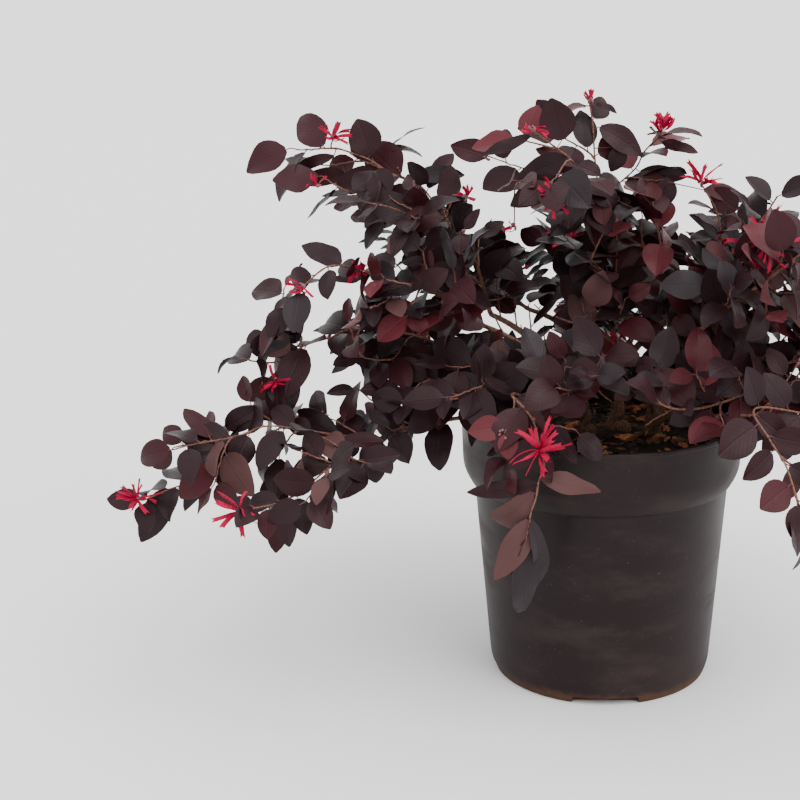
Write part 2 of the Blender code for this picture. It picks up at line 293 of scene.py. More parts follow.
paint = Paint("pot_plastic", Specular_IOR_Level=0.14)
height = paint.node("ShaderNodeSeparateXYZ", {}, {0: paint.place()}, output=2)
smears = paint.noise(16, 6, 0.62, (1, 1, 2.4)).above(0.46, 0.74)
haze = paint.noise(7, 3, 0.5, (1, 1, 1.6)).above(0.35, 0.75)
specks = paint.noise(620, 2, 0.5).above(0.70, 0.76)
crust = (paint.noise(90, 5, 0.7) * CRUST_HEIGHT - height).above(-0.002, 0.007)
colour = paint.mix(POT_COLOUR, POT_SCUFF, smears * 0.60 + haze * 0.20)
colour = paint.mix(colour, POT_SPECK, specks * 0.22)
paint.set("Base Color", paint.mix(colour, POT_DIRT, crust * 0.55))
paint.set("Roughness", 0.40 + smears * 0.22 + haze * 0.10 + crust * 0.2)
paint.bump(paint.noise(420, 4, 0.6) * 0.5 + smears * 0.3 + crust * 1.2, 0.00025, 0.55)
finish_piece("pot_shell", pot_mesh, [paint], ["pot"], sharp=35)

# The substrate is damp peat with fine bark in it, sunk a finger under the rim and a little lower at the
# wall. Its top is spun in fine rings and roughened, and it runs down the inside of the pot out of sight.
SOIL_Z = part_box("substrate")[1].z
SOIL_RADIUS = 0.0905
SOIL_LEVEL_RADIUS = 0.055
SOIL_DROP = 0.0012
SOIL_EDGE_DROP = 0.0030
SOIL_SKIRT = 0.012
SOIL_LUMPS = 70
SOIL_RINGS = 46
SOIL_STEPS = 150
SOIL_ROUGHNESS = 0.0017
SOIL_COLOUR = (0.0150, 0.0085, 0.0060, 1)
SOIL_CRUMB = (0.0600, 0.0280, 0.0150, 1)


def soil_height(x, y):
    edge = max(0.0, (math.hypot(x, y) - SOIL_LEVEL_RADIUS) / (SOIL_RADIUS - SOIL_LEVEL_RADIUS))
    lumps = noise.fractal(Vector((x * SOIL_LUMPS, y * SOIL_LUMPS, 0)), 1.0, 2.0, 5)
    return SOIL_Z - SOIL_DROP - SOIL_EDGE_DROP * edge + SOIL_ROUGHNESS * lumps


soil_outline = [Vector((SOIL_RADIUS * k / SOIL_RINGS, 0, SOIL_Z)) for k in range(SOIL_RINGS + 1)]
soil_outline += [Vector((SOIL_RADIUS, 0, SOIL_Z - SOIL_SKIRT)), Vector((0, 0, SOIL_Z - SOIL_SKIRT))]
soil_bm = turned(soil_outline, SOIL_STEPS)
for vert in soil_bm.verts:
    if vert.co.z > SOIL_Z - SOIL_SKIRT / 2:
        vert.co.z = soil_height(vert.co.x, vert.co.y)
paint = Paint("peat", Specular_IOR_Level=0.25)
crumbs = paint.noise(260, 5, 0.7)
paint.set("Base Color", paint.mix(SOIL_COLOUR, SOIL_CRUMB, crumbs.above(0.52, 0.72)))
paint.set("Roughness", 0.72 + crumbs * 0.25)
paint.bump(crumbs + paint.noise(900, 3, 0.6) * 0.5, 0.0012)
finish_piece("peat_surface", mesh_of("peat_surface", soil_bm), [paint], ["substrate"])

# Pine bark chips and crumbs lie on the peat. Each is a flattened, uneven flake, and some stand half on
# edge. They are joined by shade into three pieces: orange-brown, brown and near black.
CHIP_SHADES = {
    # light, dark, how many
    "orange": ((0.560, 0.210, 0.080, 1), (0.260, 0.090, 0.035, 1), 120),
    "brown": ((0.190, 0.075, 0.034, 1), (0.080, 0.030, 0.016, 1), 150),
    "dark": ((0.035, 0.017, 0.012, 1), (0.014, 0.008, 0.007, 1), 190),
}
CHIP_LENGTH = (0.0045, 0.0130)
CHIP_SPREAD = 0.088
CHIP_LIMIT = 0.086
CHIP_TILT = 0.55
CHIP_UNEVENNESS = 0.5
chance = np.random.default_rng(7)
for shade, (light, dark, count) in CHIP_SHADES.items():
    chips_bm = bmesh.new()
    for _ in range(count):
        length = chance.uniform(*CHIP_LENGTH)
        size = (length, length * chance.uniform(0.35, 0.65), length * chance.uniform(0.12, 0.24))
        radius = CHIP_SPREAD * math.sqrt(chance.uniform(0.02, 1))
        bearing = chance.uniform(0, math.tau)
        x, y = radius * math.cos(bearing), radius * math.sin(bearing)
        if math.hypot(x, y) > CHIP_LIMIT:
            continue
        tilt = chance.normal(0, CHIP_TILT)
        lift = abs(math.sin(tilt)) * size[1] * 0.35
        spot = Matrix.Translation((x, y, soil_height(x, y) + 0.0004 + lift))
        turn = Matrix.Rotation(chance.uniform(0, math.tau), 4, "Z") @ Matrix.Rotation(tilt, 4, "X")
        made = bmesh.ops.create_icosphere(chips_bm, subdivisions=2, radius=0.5)
        for vert in made["verts"]:
            vert.co *= 1 + CHIP_UNEVENNESS * noise.noise(vert.co * 3.1 + Vector((x, y, 0)) * 900)
        bmesh.ops.transform(chips_bm, verts=made["verts"], matrix=spot @ turn @ Matrix.Diagonal((*size, 1)))
    paint = Paint("bark_chip_" + shade, Roughness=0.8, Specular_IOR_Level=0.3)
    grain = paint.noise(420, 4, 0.6)
    paint.set("Base Color", paint.mix(dark, light, grain.above(0.38, 0.62)))
    paint.bump(grain, 0.0006)
    finish_piece("bark_chips_" + shade, mesh_of("bark_chips", chips_bm), [paint])

# Three short stems rise from one root, and eighteen boughs fork off them, swollen at the fork. The bark is
# thin, brown with grey patches and finely fissured. Each limb is a tube on its solid's own centreline, with
# the relief in the mesh, and a bough's foot runs on into its stem.
LIMB_RINGS = 6
BARK_SIDES = 14
BARK_STEP = 0.0012
FORK_SWELL = 0.45
FORK_SWELL_LENGTH = 0.004
SUNK_FOOT = 0.004
STEM_FLARE = 1.08
BOUGH_TAPER = 0.8
BARK_RELIEF = 0.112
BARK_DARK = (0.055, 0.026, 0.017, 1)
BARK_LIGHT = (0.190, 0.090, 0.048, 1)
BARK_GREY = (0.110, 0.075, 0.058, 1)


def merged_points(node):
    """The corners of a solid, each once."""
    corners = np.array([v.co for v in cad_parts[node].data.vertices])
    return np.unique(corners.round(6), axis=0)


def limb_line(node):
    """The middle and the radius of each ring of a limb's solid, from its foot to its tip."""
    points = merged_points(node)
    middle = points.mean(0)
    axis = np.linalg.svd(points - middle)[2][0]
    along = (points - middle) @ axis
    order = np.argsort(along)
    breaks = np.sort(np.argsort(np.diff(along[order]))[1 - LIMB_RINGS :]) + 1
    rings = np.split(points[order], breaks)
    middles = np.array([ring.mean(0) for ring in rings])
    radii = np.array([np.linalg.norm(ring - ring.mean(0), axis=1).mean() for ring in rings])
    if radii[0] < radii[-1]:
        return middles[::-1], radii[::-1]
    return middles, radii


def smooth_line(points, step, values=None):
    """A Catmull-Rom curve through the points, at even steps; with values, also those along it."""
    points = np.asarray(points, float)
    padded = np.vstack([2 * points[0] - points[1], points, 2 * points[-1] - points[-2]])
    fine = []
    spots = []
    for i in range(len(points) - 1):
        a, b, c, d = padded[i : i + 4]
        for t in np.linspace(0, 1, 12, endpoint=False):
            curve = 2 * b + (c - a) * t + (2 * a - 5 * b + 4 * c - d) * t**2
            fine.append(0.5 * (curve + (3 * b - a - 3 * c + d) * t**3))
            spots.append(i + t)
    fine = np.array(fine + [points[-1]])
    spots = np.array(spots + [len(points) - 1])
    run = np.concatenate([[0], np.cumsum(np.linalg.norm(np.diff(fine, axis=0), axis=1))])
    count = max(3, int(round(run[-1] / step)) + 1)
    even = np.linspace(0, run[-1], count)
    line = np.column_stack([np.interp(even, run, fine[:, k]) for k in range(3)])
    if values is None:
        return line
    return line, np.interp(np.interp(even, run, spots), range(len(values)), values)


def directions(line):
    steps = np.gradient(line, axis=0)
    return steps / np.linalg.norm(steps, axis=1)[:, None]


def lists_of(bm):
    """The corners and the faces of a bmesh, which is used up."""
    bm.verts.index_update()
    corners = np.array([v.co for v in bm.verts])
    faces = np.array([[v.index for v in f.verts] for f in bm.faces])
    bm.free()
    return corners, faces


def mesh_of_lists(name, corners, faces):
    mesh = bpy.data.meshes.new(name)
    mesh.from_pydata(corners.reshape(-1, 3).tolist(), [], faces)
    return mesh


class Tubes:
    """Tubes joined into one mesh: rings of points round each line, closed with a point at each end."""

    def __init__(self, sides):
        self.sides = sides
        self.verts = []
        self.faces = []
        self.count = 0

    def add(self, line, radii, relief=None):
        along = directions(line)
        across = np.cross(along[0], (0.31, 0.17, 0.93))
        rings = []
        around = np.linspace(0, math.tau, self.sides, endpoint=False)
        for i, (point, ahead) in enumerate(zip(line, along)):
            across = across - ahead * (across @ ahead)
            across /= np.linalg.norm(across)
            other = np.cross(ahead, across)
            out = np.cos(around)[:, None] * across + np.sin(around)[:, None] * other
            ring = point + out * radii[i]
            if relief:
                ring = point + out * (radii[i] * np.array([relief(p) for p in ring]))[:, None]
            rings.append(ring)
        self.verts += [line[:1], *rings, line[-1:]]
        n = len(line)
        s = self.sides
        first = self.count + 1
        last = self.count + 1 + n * s
        for k in range(s):
            j = (k + 1) % s
            self.faces.append((self.count, first + j, first + k))
            for i in range(n - 1):
                a = first + i * s
                self.faces.append((a + k, a + j, a + s + j, a + s + k))
            self.faces.append((last, last - s + k, last - s + j))
        self.count = last + 1

    def mesh(self, name):
        return mesh_of_lists(name, np.vstack(self.verts), self.faces)


def bark_relief(point):
    ridges = noise.noise(Vector(point) * 700) + 0.6 * noise.noise(Vector(point) * 1700)
    return 1 + BARK_RELIEF * ridges


paint = Paint("bark", Specular_IOR_Level=0.3)
fissures = paint.noise(900, 4, 0.65, (1, 1, 0.35))
patches = paint.noise(160, 3, 0.5)
bark_colour = paint.mix(BARK_DARK, BARK_LIGHT, fissures.above(0.36, 0.66))
bark_colour = paint.mix(bark_colour, BARK_GREY, patches.above(0.5, 0.7) * 0.6)
paint.set("Base Color", bark_colour)
paint.set("Roughness", 0.62 + fissures * 0.3)
paint.bump(fissures, 0.0004)

limb_nodes = sorted(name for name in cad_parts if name.startswith(("stem_", "bough_")))
stem_axes = [limb_line(name)[0] for name in limb_nodes if name.startswith("stem_")]
along_stems = np.vstack([smooth_line(axis, 0.001) for axis in stem_axes])
limb_ends = {}
limb_lines = {}
for name in limb_nodes:
    middles, radii = limb_line(name)
    if name.startswith("bough_"):
        root = along_stems[np.linalg.norm(along_stems - middles[0], axis=1).argmin()]
        foot = radii[0] * BOUGH_TAPER
    else:
        root = middles[0] - (0, 0, SUNK_FOOT)
        foot = radii[0] * STEM_FLARE
    middles = np.vstack([root, middles])
    radii = np.concatenate([[foot], radii])
    line, girth = smooth_line(middles, BARK_STEP, radii)
    run = np.arange(len(line)) * BARK_STEP
    if name.startswith("bough_"):
        girth = girth * (1 + FORK_SWELL * np.exp(-((run / FORK_SWELL_LENGTH - 1) ** 2)))
    limb = Tubes(BARK_SIDES)
    limb.add(line, girth, bark_relief)
    finish_piece("bark_" + name, limb.mesh("bark_" + name), [paint], [name], sharp=60)
    limb_ends[name] = (line[-1], directions(line)[-1], girth[-1])
    limb_lines[name] = line

# Shoots carry the boughs on through each mass of foliage. A mass has one leading shoot, from the nearest
# bough or shoot, on the photograph's route where that shows. Side shoots then run, one after another, from
# the best fork to the emptiest place left, until the mass is full.
LEADER_ROUTES = {
    "top": [(612, 285), (617, 240), (610, 211), (600, 194), (595, 160), (593, 128), (590, 106)],
    "top_left": [(586, 179), (571, 160), (551, 144), (533, 131)],
    "top_right": [(633, 171), (644, 152), (658, 138)],
    "left_upper": [(478, 268), (470, 250), (462, 230)],
    "left_upper_tip": [(448, 214), (435, 203), (419, 185), (392, 174), (368, 159), (340, 149)],
    "left_mid": [(433, 228), (409, 215), (389, 207), (368, 203)],
    "left_third": [(441, 295), (405, 284), (372, 273), (358, 268)],
    "left_third_tip": [(330, 266), (306, 284), (288, 304)],
    "left_lower": [(440, 345), (400, 332), (350, 330), (330, 338)],
    "left_lower_tip": [(304, 346), (282, 362), (276, 376)],
    "left_low": [(420, 425), (380, 438), (345, 436), (312, 431)],
    "left_low_tip": [(269, 426), (247, 434), (226, 456), (201, 478), (170, 489), (144, 500)],
    "left_low_hang": [(350, 456), (330, 467), (301, 491), (278, 503), (256, 508)],
    "front_hang": [(512, 394), (524, 408), (534, 423), (540, 448)],
    "front_hang_tip": [(545, 467), (539, 480), (536, 498), (531, 512), (529, 526), (526, 540)],
    "right_low_hang": [(756, 408), (770, 440), (786, 466), (797, 500)],
}
# How empty a place may stay in the masses that the photograph shows loose, and in the others.
AIRY = {
    "top": 0.023, "top_left": 0.024, "top_right": 0.023,
    "left_upper_tip": 0.021, "left_third_tip": 0.022, "left_lower_tip": 0.022,
    "left_low_tip": 0.022, "left_low_hang": 0.018, "front_hang_tip": 0.090,
    "right_low_hang": 0.026, "right_tip": 0.021, "right_far": 0.021,
}
FILL_DISTANCE = 0.0165
MOST_SIDE_SHOOTS = 18
SHOOT_STEP = 0.0025
LEADER_GIRTH = (0.001575, 0.00055)
SIDE_GIRTH = (0.00075, 0.00042)
BOUGH_REACH = 0.0045
INSIDE_DEPTH = 0.007
TURN_COST = 1.1
SHORTEST_SHOOT = 0.012
SHOOT_WAVER = 0.0002
INNER_FORKS = np.arange(0.38, 0.95, 0.17)
INNER_LENGTH = (0.018, 0.036)
SAMPLES = 300
CROWN_MIDDLE = np.array((0.005, 0.015, 0.200))
UP = np.array((0, 0, 1))
LIFT_HIGH = 0.25
LIFT_LOW = -0.1


class Shoot:
    """A shoot of a mass. Its rank is 0 when it leads the mass and 1 when it forks off another."""

    def __init__(self, mass, line, girth, rank):
        self.mass = mass
        self.line = line
        self.along = directions(line)
        self.girths = np.linspace(*girth, len(line))
        self.rank = rank
        self.length = SHOOT_STEP * (len(line) - 1)


def hermite(start, start_way, end, end_way, step=SHOOT_STEP):
    """A smooth line from start to end that sets out and arrives in the given directions."""
    reach = np.linalg.norm(end - start)
    m0 = start_way * reach
    m1 = end_way * reach
    t = np.linspace(0, 1, max(4, int(reach / step) + 2))[:, None]
    line = (2 * t**3 - 3 * t**2 + 1) * start + (t**3 - 2 * t**2 + t) * m0
    line = line + (3 * t**2 - 2 * t**3) * end + (t**3 - t**2) * m1
    return smooth_line(line, step)


def unit(vector):
    return vector / max(np.linalg.norm(vector), 1e-9)


class Space:
    """What a mass's solid holds: its points inside, and how far a place is from it."""

    def __init__(self, name, chance):
        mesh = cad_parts["foliage_" + name].data
        corners = [v.co.copy() for v in mesh.vertices]
        self.tree = BVHTree.FromPolygons(corners, [list(p.vertices) for p in mesh.polygons])
        self.corners = merged_points("foliage_" + name)
        low, high = self.corners.min(0), self.corners.max(0)
        inside = []
        while len(inside) < SAMPLES:
            place = chance.uniform(low, high)
            depth = self.depth(place)
            if depth > INSIDE_DEPTH * min(1, 1.6 * len(inside) / SAMPLES + 0.3):
                inside.append(place)
        self.inside = np.array(inside)
        self.middle = self.inside.mean(0)

    def depth(self, place):
        """How deep a place lies under the mass's skin; less than zero outside it."""
        spot, normal, _, distance = self.tree.find_nearest(Vector(place))
        return distance if (Vector(place) - spot).dot(normal) < 0 else -distance


chance = np.random.default_rng(20)
mass_names = sorted(name[8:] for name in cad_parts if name.startswith("foliage_"))
spaces = {name: Space(name, chance) for name in mass_names}
shoots = []
waiting = list(mass_names)
started = {}
for name in mass_names:
    reach, bearer = min((-spaces[name].depth(end[0]), limb) for limb, end in limb_ends.items())
    if reach < BOUGH_REACH:
        started[name] = limb_ends[bearer]


def grow_leader(name, start, way, girth):
    """The leading shoot of a mass, along its route in the photograph or through the mass's middle."""
    space = spaces[name]
    far = space.corners[np.linalg.norm(space.corners - start, axis=1).argmax()]
    tip = space.middle + (far - space.middle) * 0.86
    if name in LEADER_ROUTES:
        route = LEADER_ROUTES[name]
        run = np.linspace(0, 1, len(route) + 1)[1:]
        # The route's depth follows the mass's own middle, from the start to its far end.
        depths = np.interp(run, [0, 0.5, 1], [start[1], space.middle[1], tip[1]])
        points = [start] + [np.array(seen(px, py, y)) for (px, py), y in zip(route, depths)]
        line = smooth_line(points, SHOOT_STEP)
    else:
        bend = unit(2 * space.middle - (start + tip) / 2 - start)
        line = hermite(start, unit(way + 1.2 * bend), tip, unit(tip - space.middle + 0.012 * UP))
    thick, thin = LEADER_GIRTH
    shoots.append(Shoot(name, line, (min(girth, thick), thin), 0))


while waiting:
    ready = [name for name in waiting if name in started]
    if ready:
        name = ready[0]
        grow_leader(name, *started[name])
        waiting.remove(name)
        continue
    best = None
    for name in waiting:
        for shoot in shoots:
            for i in range(2, len(shoot.line), 2):
                gap = -spaces[name].depth(shoot.line[i])
                cost = max(gap, 0) + 0.10 * np.linalg.norm(spaces[name].middle - shoot.line[i])
                if not best or cost < best[0]:
                    best = (cost, name, shoot.line[i], shoot.along[i], shoot.girths[i])
    started[best[1]] = best[2:]


def fill_mass(name):
    """Side shoots, each from the best fork to the emptiest place in the mass."""
    space = spaces[name]
    spread = AIRY.get(name, FILL_DISTANCE)
    leader = [shoot for shoot in shoots if shoot.mass == name][0]
    places = leader.line[3:]
    ways = leader.along[3:]
    for _ in range(MOST_SIDE_SHOOTS):
        gaps = np.linalg.norm(space.inside[:, None] - places[None], axis=2).min(1)
        goal = space.inside[gaps.argmax()]
        if gaps.max() < spread:
            break
        reach = goal - places
        length = np.linalg.norm(reach, axis=1)
        turn = 1 - (reach * ways).sum(1) / np.maximum(length, 1e-6)
        cost = length * (1 + TURN_COST * turn**2) + np.where(length < SHORTEST_SHOOT, 1, 0)
        i = cost.argmin()
        towards = unit(goal - places[i])
        lift = UP * (LIFT_HIGH if goal[2] > CROWN_MIDDLE[2] else LIFT_LOW)
        line = hermite(places[i], unit(0.75 * ways[i] + towards), goal, unit(towards + lift))
        line[2:-1] += chance.normal(0, SHOOT_WAVER, (len(line) - 3, 3))
        shoots.append(Shoot(name, line, SIDE_GIRTH, 1))
        places = np.vstack([places, line[2:]])
        ways = np.vstack([ways, directions(line)[2:]])


for name in mass_names:
    fill_mass(name)

# Short leafy shoots break from the outer part of each bough and fill the plant's inside.
for name, line in limb_lines.items():
    if name.startswith("bough_"):
        for share in INNER_FORKS:
            i = int(share * (len(line) - 1))
            way = directions(line)[i]
            aside = unit(np.cross(way, UP)) * chance.choice((-1, 1))
            aim = unit(way * 0.7 + aside * 0.7 + chance.uniform(0.1, 0.9) * UP)
            end = line[i] + aim * chance.uniform(*INNER_LENGTH)
            short = hermite(line[i], unit(way + aside), end, unit(end - line[i]))
            shoots.append(Shoot("inner", short, SIDE_GIRTH, 1))

# Leaves stand in two ranks along a shoot, each on a short stalk: ovals, satin above and paler and downy
# below. A blade is a thin grid with two skins, bent by its own fold, arch, twist and wave. The blades are
# joined by colour into seven pieces, from near black over wine to brick red, with downy ones and pale
# bluish-grey ones whose colour is a painted sheen.
NODE_SPACING = (0.0085, 0.0125)
LEAF_LENGTH = (0.0220, 0.0335)
HIGH_LEAF = 1.16
LEAF_WIDTH = (0.62, 0.82)
LEAF_ANGLE = (42, 68)
FACE_UP = 0.62
FACE_OUT = 0.42
FRONT_Y = 0.06
SPRAY_SPREAD = 0.22
LEAF_FACE_SPREAD = 0.34
LEAF_WAY_SPREAD = 0.16
LEAF_DROOP = 0.12
STALK = 0.0032
STALK_INTO_BLADE = 0.0012
MIDRIB_GROOVE = 0.010
MIDRIB_WIDTH = 0.09
BLADE_COLUMNS = 4
BLADE_ROWS = 8
BLADE_THICKNESS = 0.00028
LEAF_SHADES = {
    # slot, roughness, underside, uppersides
    "black": ("leaf_dark", 0.40, (0.0290, 0.0135, 0.0155), [
        (0.0135, 0.0040, 0.0058), (0.0165, 0.0044, 0.0064), (0.0125, 0.0054, 0.0066),
    ]),
    "plum": ("leaf_dark", 0.42, (0.0310, 0.0140, 0.0158), [
        (0.0185, 0.0044, 0.0066), (0.0225, 0.0050, 0.0072), (0.0200, 0.0061, 0.0070),
    ]),
    "wine": ("leaf_wine", 0.42, (0.0390, 0.0165, 0.0178), [
        (0.0265, 0.0048, 0.0070), (0.0310, 0.0054, 0.0076), (0.0255, 0.0068, 0.0075),
    ]),
    "maroon": ("leaf_wine", 0.40, (0.0580, 0.0230, 0.0245), [
        (0.0390, 0.0058, 0.0080), (0.0345, 0.0070, 0.0078), (0.0450, 0.0072, 0.0100),
    ]),
    "young": ("leaf_young", 0.36, (0.0820, 0.0310, 0.0320), [
        (0.0760, 0.0120, 0.0165), (0.0940, 0.0170, 0.0220), (0.0680, 0.0150, 0.0155),
    ]),
    "downy": ("leaf_underside", 0.60, (0.0240, 0.0120, 0.0130), [
        (0.0700, 0.0330, 0.0320), (0.0820, 0.0410, 0.0390), (0.0560, 0.0270, 0.0270),
    ]),
    # The pale bluish-grey shade below is a painted sheen: it stands in for the gloss of light on those
    # leaves.
    "slate": ("leaf_dark", 0.38, (0.0330, 0.0200, 0.0220), [
        (0.0175, 0.0115, 0.0135), (0.0140, 0.0092, 0.0110),
    ]),
}
SHADE_ORDER = list(LEAF_SHADES)
REDDEST, DOWNY, PAINTED_SHEEN = (SHADE_ORDER.index(name) for name in ("young", "downy", "slate"))
TURNED_OVER = 0.03
# The share of leaves high in the crown that take the pale bluish grey of painted sheen.
PAINTED_SHEEN_SHARE = 0.06
YOUNG_REDDER = 0.35
YOUNG_LENGTH = 0.012
LEAF_BENDS = ((0.00, 0.26), (0.45, 0.40), 0.28, 0.10, 0.05)
FACING = np.array((0.25, -1, 0.45))
TIP_FORWARD = 0.004
HIGH_Z = 0.30
LOW_Z = 0.28
# The height above which leaves may take that painted sheen.
PAINTED_SHEEN_Z = 0.22


def blade(columns, rows, width_at, thickness):
    """A flat two-skinned strip, 1 long and as wide as width_at says: corners, faces, which are upper ones."""
    bm = bmesh.new()
    bmesh.ops.create_grid(bm, x_segments=columns, y_segments=rows, size=0.5)
    for vert in bm.verts:
        run = vert.co.y + 0.5
        vert.co = Vector((2 * vert.co.x * width_at(run), run, 0))
    bmesh.ops.recalc_face_normals(bm, faces=bm.faces)
    if bm.faces[:][0].normal.z < 0:
        bmesh.ops.reverse_faces(bm, faces=bm.faces)
    bmesh.ops.solidify(bm, geom=list(bm.faces), thickness=thickness)
    face_out(bm)
    upper = np.array([f.normal.z > 0.5 for f in bm.faces])
    return *lists_of(bm), upper


def leaf_width(run):
    """Half the blade's width at this share of its length, for a blade 1 wide."""
    oval = math.sin(math.pi * min(max(run, 0.012), 0.992) ** 0.84) ** 0.66
    return 0.5 * max(0.02, oval * (1 - 0.10 * run))


def bend_blades(corners, sizes, shapes, ways, normals, roots):
    """Every copy of a blade: sized, folded, waved, twisted and arched, turned and put on its root."""
    turns = np.stack([np.cross(ways, normals), ways, normals], axis=2)
    x = corners[None, :, 0] * sizes[:, 1:2]
    run = corners[None, :, 1]
    thick = corners[None, :, 2]
    fold, arch, twist, wave, phase, aside = (shapes[:, k : k + 1] for k in range(6))
    ripples = np.abs(corners[None, :, 0]) * np.sin(9 * run + phase + 2.0 * (x > 0))
    z = np.abs(x) * fold + wave * sizes[:, :1] * ripples
    z = z - MIDRIB_GROOVE * sizes[:, :1] * np.exp(-((corners[None, :, 0] / MIDRIB_WIDTH) ** 2)) + thick
    angle = twist * run
    x, z = x * np.cos(angle) - z * np.sin(angle), x * np.sin(angle) + z * np.cos(angle)
    arch = np.where(np.abs(arch) < 0.02, 0.02, arch)
    bent = arch * run
    y = sizes[:, :1] * np.sin(bent) / arch + z * np.sin(bent)
    z = z * np.cos(bent) - sizes[:, :1] * (1 - np.cos(bent)) / arch
    x = x + sizes[:, :1] * aside * run**2
    local = np.stack([x, y, z], axis=2)
    return np.einsum("nij,nkj->nki", turns, local) + roots[:, None]


def joined_blades(name, corners, faces, upper, sets, places):
    """One mesh of all copies. The upper skins take each copy's own material, the others the last one."""
    count = len(sets)
    quads = faces[None] + len(corners) * np.arange(count)[:, None, None]
    mesh = mesh_of_lists(name, places, quads.reshape(-1, 4).tolist())
    slots = np.where(upper[None], sets[:, None], sets.max() + 1)
    mesh.polygons.foreach_set("material_index", slots.reshape(-1).astype(np.int32))
    uv = mesh.uv_layers.new(name="blade")
    across = corners[:, 0] + 0.5
    spots = np.stack([across, corners[:, 1]], axis=1)[faces]
    uv.data.foreach_set("uv", np.tile(spots.reshape(-1), count))
    return mesh


def dealt_blades(name, kind, copies, bends, colours):
    """One mesh of copies of a blade. Each copy has a root, way, normal, length and width, and is dealt its
    fold, arch, twist, wave and lean, and one of the colours."""
    roots, ways, normals, lengths, widths = (np.array(column) for column in zip(*copies))
    fold, arch, twist, wave, lean = bends
    count = len(copies)
    shapes = [
        chance.uniform(*fold, count),
        chance.normal(*arch, count),
        chance.normal(0, twist, count),
        chance.uniform(0, wave, count),
        chance.uniform(0, math.tau, count),
        chance.normal(0, lean, count),
    ]
    sizes = np.column_stack([lengths, widths])
    sets = chance.integers(0, colours, count)
    sets[0] = colours - 1
    places = bend_blades(kind[0], sizes, np.column_stack(shapes), ways, normals, roots)
    return joined_blades(name, *kind, sets, places)


def on_blade(paint):
    """Where a point lies across and along its blade, each from 0 to 1."""
    spot = paint.node("ShaderNodeUVMap", {"uv_map": "blade"}, {})
    return [paint.node("ShaderNodeSeparateXYZ", {}, {0: spot}, output=k) for k in (0, 1)]


def leaf_paint(name, colour, roughness, downy):
    """Satin leaf: plain colour, with the side veins and the skin's fine grain as relief and gloss."""
    paint = Paint(name, Base_Color=(*colour, 1), Specular_IOR_Level=0.07 if downy else 0.15)
    across, along = on_blade(paint)
    off = (across - 0.5).math("ABSOLUTE")
    ripple = (along * 8 - off * 7).math("FRACT")
    vein = (ripple - 0.5).math("ABSOLUTE").above(0.36, 0.5)
    midrib = 1 - off.above(0.01, 0.045)
    grain = paint.noise(1500, 2, 0.5)
    dull = paint.noise(240, 3, 0.6)
    relief = vein * 0.6 + midrib * 1.2
    if not downy:
        relief = grain * 0.5 - relief
    paint.bump(relief, 0.00018, 0.6)
    paint.set("Roughness", roughness - 0.10 + dull * 0.26)
    return paint


Leaf = namedtuple("Leaf", "root way normal length width shade")

# Where the photograph shows sky or the peat through the crown, few leaves grow: an oval in its pixels, how
# far back it reaches, and the share of leaves left out there.
GAPS_SEEN = [
    # px, py, half width, half height, to this depth y, share
    (640, 424, 62, 32, 0.075, 0.92),
    (520, 318, 42, 27, 0.300, 0.80),
    (765, 342, 34, 14, 0.300, 0.70),
    (668, 262, 30, 16, 0.300, 0.50),
    (470, 212, 18, 26, 0.300, 0.60),
    (520, 140, 290, 56, 0.300, 0.45),
]
# Leaves that stand out in the photograph are put in one by one, on the shoots of their mass: from a pixel
# to a pixel, how wide for their length, and their colour. The sprig down the front has only such leaves.
HANGING = "front_hang_tip"
# The pale bluish-grey leaves among them carry a painted sheen in their colour.
LEAVES_SEEN = {
    HANGING: [
        (537, 484, 463, 497, 0.26, "plum"),
        (541, 478, 603, 491, 0.38, "downy"),
        (532, 492, 479, 556, 0.36, "downy"),
        (528, 520, 503, 585, 0.42, "downy"),
        (531, 520, 558, 600, 0.24, "slate"),
        (526, 541, 532, 642, 0.26, "slate"),
        (527, 538, 518, 590, 0.28, "plum"),
    ],
    "top_left": [
        (562, 140, 553, 98, 0.90, "plum"),
        (567, 157, 514, 181, 0.46, "black"),
        (530, 136, 481, 155, 0.28, "black"),
        (560, 178, 508, 204, 0.50, "black"),
    ],
    "top": [
        (600, 127, 646, 151, 0.52, "plum"),
        (622, 147, 612, 172, 0.82, "black"),
        (596, 104, 620, 106, 0.30, "plum"),
    ],
    "top_right": [
        (662, 142, 701, 152, 0.34, "wine"),
        (640, 172, 687, 179, 0.42, "black"),
        (668, 178, 664, 209, 0.78, "black"),
        (704, 190, 753, 193, 0.44, "maroon"),
    ],
    "left_upper_tip": [
        (416, 177, 463, 168, 0.40, "slate"),
        (370, 155, 360, 118, 0.92, "plum"),
        (334, 156, 281, 168, 0.24, "plum"),
        (345, 174, 296, 180, 0.40, "wine"),
    ],
    "left_third_tip": [(300, 352, 254, 344, 0.42, "slate")],
    "left_low_tip": [
        (168, 489, 140, 546, 0.46, "black"),
        (222, 436, 184, 452, 0.70, "slate"),
        (226, 428, 257, 408, 0.62, "black"),
    ],
}
leaves = []
stalks = []
chance = np.random.default_rng(11)
# The chances of black, plum, wine, maroon and young in a spray.
HIGH_CHANCES = np.array([0.25, 0.44, 0.22, 0.07, 0.02])
LOW_FRONT_CHANCES = np.array([0.32, 0.36, 0.20, 0.09, 0.03])
# Low at the left the sprays are dealt near black as painted shade, for leaves that turn away from the light.
LOW_LEFT_PAINTED_SHADE_CHANCES = np.array([0.62, 0.29, 0.05, 0.02, 0.02])


def spray_shade(place):
    """The colour of a spray: dark high up, darkest low at the left as painted shade, redder low at the front.
    """
    low = np.clip((0.270 - place[2]) / 0.070, 0, 1)
    front = np.clip((0.05 - place[1]) / 0.10, 0, 1)
    mixed = HIGH_CHANCES + (LOW_FRONT_CHANCES - HIGH_CHANCES) * low * (0.35 + 0.65 * front)
    # Painted shade: low sprays at the left take the darkest colours.
    if -0.15 < place[0] < 0.0 and place[2] < LOW_Z:
        mixed = LOW_LEFT_PAINTED_SHADE_CHANCES
    return int(chance.choice(len(mixed), p=mixed / mixed.sum()))


